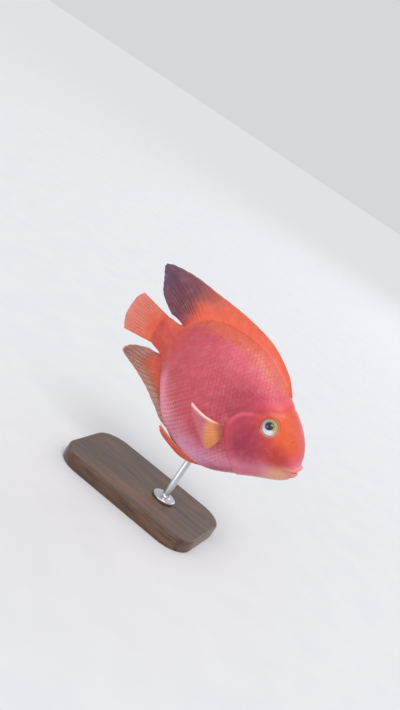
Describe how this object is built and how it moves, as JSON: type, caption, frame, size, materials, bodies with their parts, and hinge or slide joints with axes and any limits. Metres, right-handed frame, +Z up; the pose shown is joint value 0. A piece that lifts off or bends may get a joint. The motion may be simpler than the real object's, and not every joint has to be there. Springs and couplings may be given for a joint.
{
  "type": "blood parrot cichlid, life-size still model on a stand",
  "caption": "Deep-bodied orange aquarium cichlid, level swimming pose, separate rayed fins, eyes, lower jaw and head, held by one rod on a flat base.",
  "frame": {"origin": "centre of the whole part's box, on the underside of the stand's base", "axes": "+X towards the fish's snout, +Y towards its left flank, +Z up"},
  "size_m": [0.1716, 0.08, 0.1564],
  "materials": {
    "flank_skin": "moist scaled skin, salmon red",
    "face_skin": "smooth moist skin, orange to red",
    "fin": "thin rayed fin, orange, clearer towards the rear edge",
    "eye": "clear glossy eye, silver ring with yellow rim round a dark pupil",
    "stand_wood": "satin dark wood",
    "stand_steel": "brushed"
  },
  "bodies": {
    "root": {"head": "face_skin", "lower_jaw": "face_skin", "trunk": "flank_skin", "tail_stem": "flank_skin", "dorsal_fin": "fin", "anal_fin": "fin", "tail_fin": "fin", "pectoral_fin_left": "fin", "pectoral_fin_right": "fin", "pelvic_fin_left": "fin", "pelvic_fin_right": "fin", "eye_left": "eye", "eye_right": "eye", "stand_base": "stand_wood", "stand_rod": "stand_steel"}
  },
  "joints": []
}
